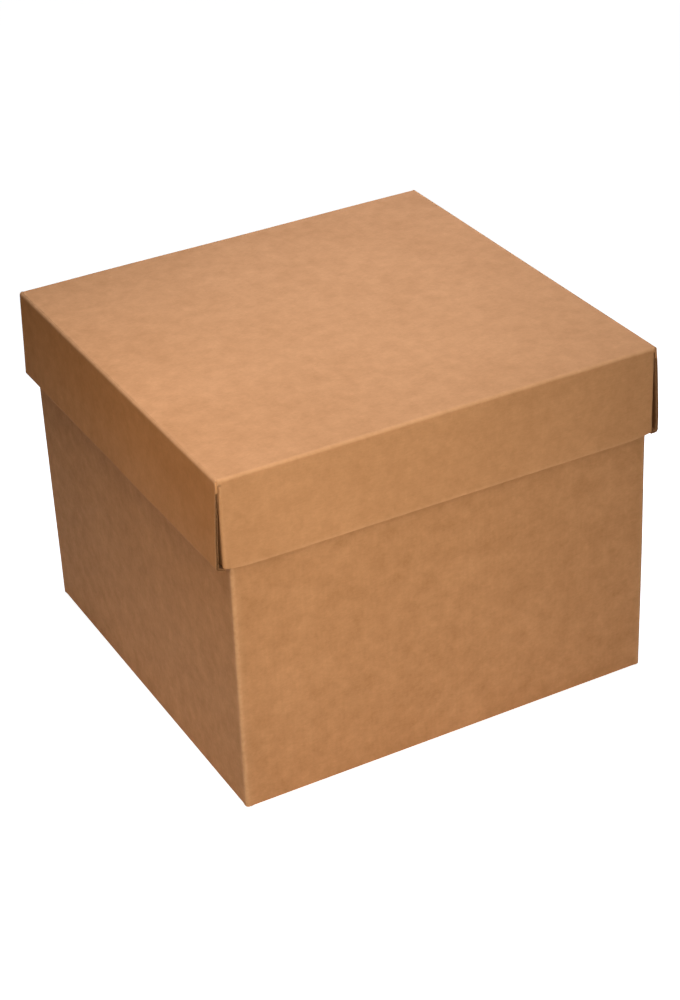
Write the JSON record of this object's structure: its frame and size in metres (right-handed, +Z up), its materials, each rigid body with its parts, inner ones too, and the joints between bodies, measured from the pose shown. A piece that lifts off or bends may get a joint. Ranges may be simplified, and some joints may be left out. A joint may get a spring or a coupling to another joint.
{
  "type": "lidded cardboard box",
  "caption": "Closed two-piece box of plain kraft corrugated board: a deep folded base and a lift-off lid with rolled double end walls.",
  "frame": {"origin": "centre of the box's underside, on the surface it stands on", "axes": "+X along the front wall to the right, +Y from the front wall to the back wall, +Z up"},
  "size_m": [0.3056, 0.2932, 0.2345],
  "materials": {
    "base_board": "matt kraft board",
    "lid_board": "matt kraft board"
  },
  "bodies": {
    "base": {"base": "base_board"},
    "lid": {"lid": "lid_board"}
  },
  "joints": [
    {"name": "lid_lift", "type": "slide", "parent": "base", "child": "lid", "axis": [0, 0, 1], "range_m": [0, 0.25]}
  ]
}
